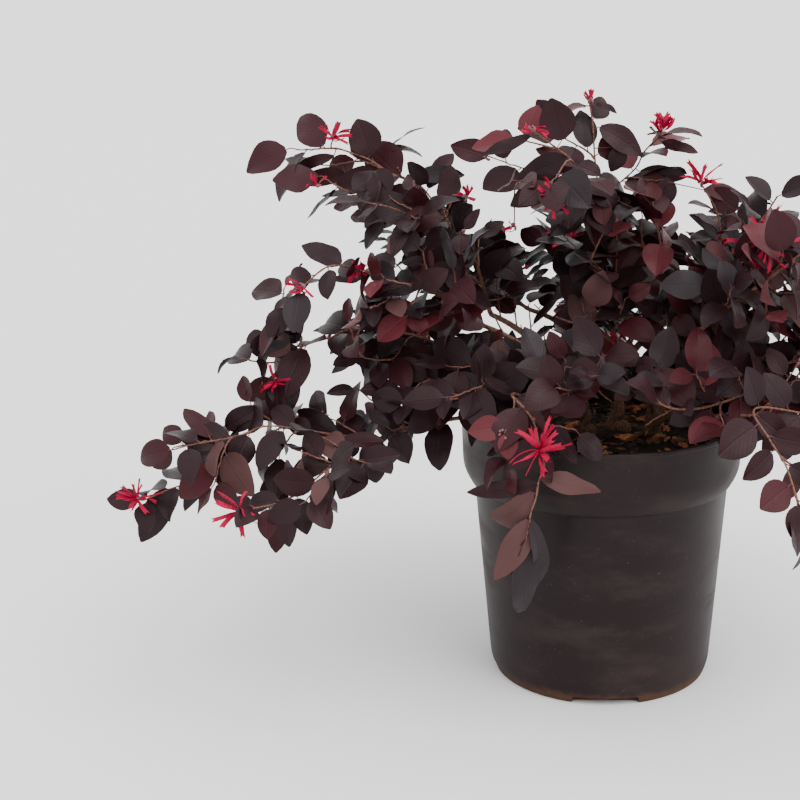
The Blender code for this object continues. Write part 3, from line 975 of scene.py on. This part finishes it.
def leafy(shoot):
    """Leaves in two ranks along the shoot, and one at its tip."""
    place = shoot.line[len(shoot.line) // 2]
    out = unit((place - CROWN_MIDDLE) * (1, 1, 0.6))
    front = np.array((0, -FACE_OUT, 0)) * (place[1] < FRONT_Y)
    face = unit(FACE_UP * UP + FACE_OUT * out + front + chance.normal(0, SPRAY_SPREAD, 3))
    shade = spray_shade(place)
    spot = chance.uniform(0.006, 0.012) if shoot.rank else chance.uniform(0.010, 0.018)
    side = chance.choice((-1, 1))
    full = chance.uniform(0.85, 1.08) * (HIGH_LEAF if place[2] > HIGH_Z else 1)
    while spot < shoot.length + 0.002:
        i = min(int(round(spot / SHOOT_STEP)), len(shoot.line) - 1)
        left = shoot.length - spot
        grown = np.clip(0.70 + left / 0.045, 0, 1)
        add_leaf(shoot, i, side, face, shade, full * grown, left < YOUNG_LENGTH)
        spot += chance.uniform(*NODE_SPACING) * (0.75 + 0.25 * grown)
        side = -side
    add_leaf(shoot, len(shoot.line) - 1, 0.25 * side, face, shade, full * 0.80, True)


def across_from(way, normal):
    """The direction nearest to the normal that is square to the way."""
    return unit(normal - way * (normal @ way))


def add_leaf(shoot, i, side, face, shade, size, young):
    """One leaf at a point of a shoot, unless it would hide a gap of the photograph."""
    spot = shoot.line[i]
    along = shoot.along[i]
    aside = unit(np.cross(along, face))
    angle = math.radians(chance.uniform(*LEAF_ANGLE)) * abs(side) ** 0.5
    way = along * math.cos(angle) + aside * math.copysign(math.sin(angle), side)
    way = unit(way + chance.normal(0, LEAF_WAY_SPREAD, 3) - LEAF_DROOP * UP)
    width = chance.uniform(*LEAF_WIDTH)
    normal = across_from(way, face + chance.normal(0, LEAF_FACE_SPREAD, 3))
    length = chance.uniform(*LEAF_LENGTH) * size
    redder = young and chance.uniform() < YOUNG_REDDER and spot[2] < HIGH_Z
    tint = int(np.clip(shade + redder + chance.choice((-1, 0, 0, 1)), 0, REDDEST))
    if chance.uniform() < TURNED_OVER and spot[2] < LOW_Z:
        tint = DOWNY
    # Some higher leaves take the pale bluish grey of painted sheen.
    elif chance.uniform() < PAINTED_SHEEN_SHARE and spot[2] > PAINTED_SHEEN_Z:
        tint = PAINTED_SHEEN
    root = spot + way * STALK
    heart = root + way * length * 0.5
    px, py = on_picture(heart[None])[0]
    for gx, gy, half_width, half_height, depth, share in GAPS_SEEN:
        inside = ((px - gx) / half_width) ** 2 + ((py - gy) / half_height) ** 2 < 1
        if inside and heart[1] < depth and chance.uniform() < share:
            return
    stalks.append((spot, root + way * STALK_INTO_BLADE))
    leaves.append(Leaf(root, way, normal, length, length * width, tint))


for shoot in shoots:
    if shoot.mass != HANGING:
        leafy(shoot)
for mass, seen_leaves in LEAVES_SEEN.items():
    forks = np.vstack([shoot.line for shoot in shoots if shoot.mass == mass])
    for root_x, root_y, tip_x, tip_y, width, name in seen_leaves:
        fork = forks[np.linalg.norm(on_picture(forks) - (root_x, root_y), axis=1).argmin()]
        root = np.array(seen(root_x, root_y, fork[1]))
        tip = np.array(seen(tip_x, tip_y, fork[1] - TIP_FORWARD))
        stalks.append((fork, root))
        way = unit(tip - root)
        normal = across_from(way, FACING + chance.normal(0, 0.2, 3))
        length = np.linalg.norm(tip - root)
        leaves.append(Leaf(root, way, normal, length, length * width, SHADE_ORDER.index(name)))

leaf_blade = blade(BLADE_COLUMNS, BLADE_ROWS, leaf_width, BLADE_THICKNESS)
for tint, name in enumerate(SHADE_ORDER):
    slot, roughness, underside, colours = LEAF_SHADES[name]
    copies = [leaf[:5] for leaf in leaves if leaf.shade == tint]
    mesh = dealt_blades("leaves_" + name, leaf_blade, copies, LEAF_BENDS, len(colours))
    paints = []
    for k, colour in enumerate(colours):
        paints.append(leaf_paint(f"leaf_{name}_{k + 1}", colour, roughness, tint == DOWNY))
    paints.append(leaf_paint(f"leaf_{name}_under", underside, 0.75, tint != DOWNY))
    finish_piece("leaves_" + name, mesh, paints, sharp=50)

# Flowers sit in clusters at the tips of short spurs: a knot of downy mauve buds and calyces, and from it
# crimson ribbon petals that curl, twist and fray at their ends. The open ones of the photograph have their
# places by pixel, on a spur from the nearest shoot; on the sides it doesn't show they are dealt by chance.
FLOWERS_SEEN = [
    # px, py, petals, spread in metres
    (533, 129, 7, 0.011),
    (591, 101, 5, 0.009),
    (661, 131, 15, 0.014),
    (701, 183, 12, 0.017),
    (766, 246, 28, 0.023),
    (722, 248, 7, 0.010),
    (551, 196, 10, 0.014),
    (466, 197, 6, 0.009),
    (333, 138, 12, 0.014),
    (318, 185, 5, 0.009),
    (360, 270, 9, 0.012),
    (415, 325, 9, 0.009),
    (303, 287, 8, 0.011),
    (276, 381, 14, 0.013),
    (138, 499, 15, 0.015),
    (240, 510, 16, 0.016),
    (540, 450, 22, 0.019),
    (618, 340, 5, 0.009),
    (514, 226, 5, 0.008),
]
FLOWERS_ELSEWHERE = 22
PETAL_WIDTH = (0.0013, 0.0025)
PETAL_THICKNESS = 0.00016
PETAL_CLEFT = 0.09
PETAL_SPREAD = 0.62
PETAL_BENDS = ((-0.15, 0.35), (0.3, 0.9), 1.6, 0.03, 0.22)
PLEATS = 28
PETAL_COLUMNS = 2
PETAL_ROWS = 10
PETAL_SHADES = [(0.330, 0.0045, 0.0360), (0.430, 0.0060, 0.0480), (0.220, 0.0045, 0.0270)]
PETAL_BACK = (0.290, 0.0080, 0.0400)
BIG_FLOWER = 20
KNOT_BUDS = (4, 8)
KNOT_SPREAD = 0.0009
KNOT_BUD_RADIUS = (0.0007, 0.0012)


def petal_width(run):
    """Half a strap petal's width: narrow at its foot, even, and a little wider near its cut end."""
    return 0.5 * (0.45 + 0.55 * min(1.0, run * 3.5)) * (1 + 0.25 * run)


petal_blade = blade(PETAL_COLUMNS, PETAL_ROWS, petal_width, PETAL_THICKNESS)
petal_corners = petal_blade[0]
forked = (petal_corners[:, 1] > 0.97) & (np.abs(petal_corners[:, 0]) < 0.1)
petal_corners[forked, 1] -= PETAL_CLEFT

open_shoots = [shoot for shoot in shoots if shoot.mass != "inner"]
all_places = np.vstack([shoot.line for shoot in open_shoots])
all_ways = np.vstack([shoot.along for shoot in open_shoots])
picture_places = on_picture(all_places)
chance = np.random.default_rng(5)
flower_sites = []
for px, py, petals, spread in FLOWERS_SEEN:
    off = np.linalg.norm(picture_places - (px, py), axis=1)
    cost = off + 0.25 * np.maximum(all_places[:, 1] + 0.02, 0) * PICTURE
    i = cost.argmin()
    spot = np.array(seen(px, py, all_places[i][1] - (0.016 if petals > BIG_FLOWER else 0.004)))
    flower_sites.append((all_places[i], all_ways[i], spot, petals, spread))
behind = [shoot for shoot in open_shoots if shoot.line[-1][1] > 0.03 or shoot.line[-1][0] > 0.15]
for k in chance.choice(len(behind), FLOWERS_ELSEWHERE, replace=False):
    shoot = behind[k]
    i = len(shoot.line) - 1 if chance.uniform() < 0.6 else len(shoot.line) // 2
    aside = unit(chance.normal(0, 1, 3) + 0.8 * UP)
    spot = shoot.line[i] + unit(shoot.along[i] + 0.6 * aside) * chance.uniform(0.005, 0.011)
    petals = int(chance.integers(7, 20))
    flower_sites.append((shoot.line[i], shoot.along[i], spot, petals, chance.uniform(0.012, 0.018)))

petal_data = []
knobs = []
spurs = []
for root, way, spot, petals, spread in flower_sites:
    out = unit(spot - root + 0.004 * way + 0.003 * UP)
    spurs.append((root, way, spot))
    for _ in range(petals):
        aim = unit(out * chance.uniform(0.0, 1.1) + chance.normal(0, PETAL_SPREAD, 3) + 0.10 * UP)
        normal = across_from(aim, chance.normal(0, 1, 3))
        petal_data.append((spot + aim * 0.0008, aim, normal, spread * chance.uniform(0.65, 1.1)))
    for _ in range(int(chance.integers(*KNOT_BUDS))):
        knobs.append((spot + chance.normal(0, KNOT_SPREAD, 3), chance.uniform(*KNOT_BUD_RADIUS), out))
petal_widths = chance.uniform(*PETAL_WIDTH, len(petal_data))
copies = [(*petal, width) for petal, width in zip(petal_data, petal_widths)]
petal_mesh = dealt_blades("petals", petal_blade, copies, PETAL_BENDS, len(PETAL_SHADES))


def petal_paint(name, colour):
    """Soft petal: a plain crimson, with fine lengthwise pleats as relief."""
    paint = Paint(name, Base_Color=(*colour, 1), Specular_IOR_Level=0.10)
    pleats = (on_blade(paint)[0] * PLEATS).math("SINE")
    paint.bump(pleats + paint.noise(900, 2, 0.5), 0.0001, 0.6)
    paint.set("Roughness", 0.48 + paint.noise(300, 2, 0.5) * 0.2)
    return paint


petal_paints = [petal_paint(f"petal_{k + 1}", colour) for k, colour in enumerate(PETAL_SHADES)]
petal_paints.append(petal_paint("petal_back", PETAL_BACK))
finish_piece("petals", petal_mesh, petal_paints, sharp=60)

# Buds and calyces are downy mauve knobs, in the knots of the flowers and in small clusters on spurs of
# their own at the tips of other shoots. Each is a stretched ball, and they are joined into one piece.
BUD_CLUSTERS = 34
KNOB_STRETCH = 1.7
CALYX_COLOUR = (0.150, 0.046, 0.060, 1)
for k in chance.choice(len(open_shoots), BUD_CLUSTERS, replace=False):
    shoot = open_shoots[k]
    i = len(shoot.line) - 1
    spot = shoot.line[i] + shoot.along[i] * 0.004
    spurs.append((shoot.line[i], shoot.along[i], spot))
    for _ in range(int(chance.integers(3, 7))):
        knobs.append((spot + chance.normal(0, 0.0014, 3), chance.uniform(0.0007, 0.0011), shoot.along[i]))
ball_bm = bmesh.new()
bmesh.ops.create_icosphere(ball_bm, subdivisions=1, radius=1)
ball_corners, ball_faces = lists_of(ball_bm)
spots, radii, aims = (np.array(column) for column in zip(*knobs))
corners = ball_corners[None] * radii[:, None, None]
along = (corners * aims[:, None]).sum(2) * (KNOB_STRETCH - 1)
corners = corners + aims[:, None] * along[:, :, None] + spots[:, None]
faces = ball_faces[None] + len(ball_corners) * np.arange(len(knobs))[:, None, None]
calyx_mesh = mesh_of_lists("calyces", corners, faces.reshape(-1, 3).tolist())
paint = Paint("calyx", Base_Color=CALYX_COLOUR, Sheen_Weight=0.3)
paint.set("Roughness", 0.6 + paint.noise(900, 2, 0.5) * 0.3)
paint.bump(paint.noise(2200, 2, 0.5), 0.0002)
finish_piece("calyces", calyx_mesh, [paint], sharp=80)

# The shoots are thin, red-brown and a little knotty. They and the spurs are one joined mesh of tubes, which
# stands for the masses of foliage together with the leaves, and the leaf stalks are another.
SPUR_GIRTH = (0.00055, 0.00045)
SPUR_STEP = 0.002
STALK_GIRTHS = (0.00042, 0.00036, 0.00030)
TWIG_DARK = (0.060, 0.022, 0.018, 1)
TWIG_LIGHT = (0.175, 0.072, 0.045, 1)
STALK_COLOUR = (0.075, 0.022, 0.024, 1)
twigs = Tubes(6)
for shoot in shoots:
    swell = 1 + 0.22 * np.maximum(0, np.sin(np.arange(len(shoot.line)) * 1.7)) ** 4
    twigs.add(shoot.line, shoot.girths * swell)
for root, way, spot in spurs:
    line = hermite(root, way, spot, unit(spot - root), SPUR_STEP)
    twigs.add(line, np.linspace(*SPUR_GIRTH, len(line)))
paint = Paint("young_bark", Specular_IOR_Level=0.3)
mottle = paint.noise(600, 3, 0.6)
paint.set("Base Color", paint.mix(TWIG_DARK, TWIG_LIGHT, mottle.above(0.35, 0.65)))
paint.set("Roughness", 0.55 + mottle * 0.3)
paint.bump(mottle, 0.0002)
foliage_nodes = ["foliage_" + name for name in mass_names]
finish_piece("shoots", twigs.mesh("shoots"), [paint], foliage_nodes, sharp=80)

petioles = Tubes(4)
for root, end in stalks:
    petioles.add(np.linspace(root, end, len(STALK_GIRTHS)), STALK_GIRTHS)
paint = Paint("leaf_stalk", Base_Color=STALK_COLOUR, Specular_IOR_Level=0.3)
paint.set("Roughness", 0.5 + paint.noise(700, 2, 0.5) * 0.3)
finish_piece("leaf_stalks", petioles.mesh("leaf_stalks"), [paint], sharp=80)

# The studio: a plain pale floor that runs out of sight, even white light from all round, and one broad
# soft light from the upper right. The floor is just dark enough to meet the sky without a line.
FLOOR_SIZE = 6
FLOOR_COLOUR = (0.76, 0.76, 0.76, 1)
SKY_LIGHT = 2.0
KEY_LIGHT = 2.7
KEY_SPREAD = math.radians(50)
KEY_WAY = Vector((-0.62, 0.50, -1.0))
floor_bm = bmesh.new()
bmesh.ops.create_grid(floor_bm, x_segments=1, y_segments=1, size=FLOOR_SIZE)
floor = placed("studio_floor", mesh_of("studio_floor", floor_bm))
paint = Paint("studio_floor", Base_Color=FLOOR_COLOUR, Roughness=0.9, Specular_IOR_Level=0.0)
floor.data.materials.append(paint.material)
world = bpy.data.worlds.new("studio")
world.use_nodes = True
sky = world.node_tree.nodes["Background"].inputs
sky["Color"].default_value = (1, 1, 1, 1)
sky["Strength"].default_value = SKY_LIGHT
bpy.context.scene.world = world
lamp = placed("key", bpy.data.lights.new("key", "SUN"))
lamp.data.energy = KEY_LIGHT
lamp.data.angle = KEY_SPREAD
lamp.rotation_euler = KEY_WAY.to_track_quat("-Z", "Y").to_euler()
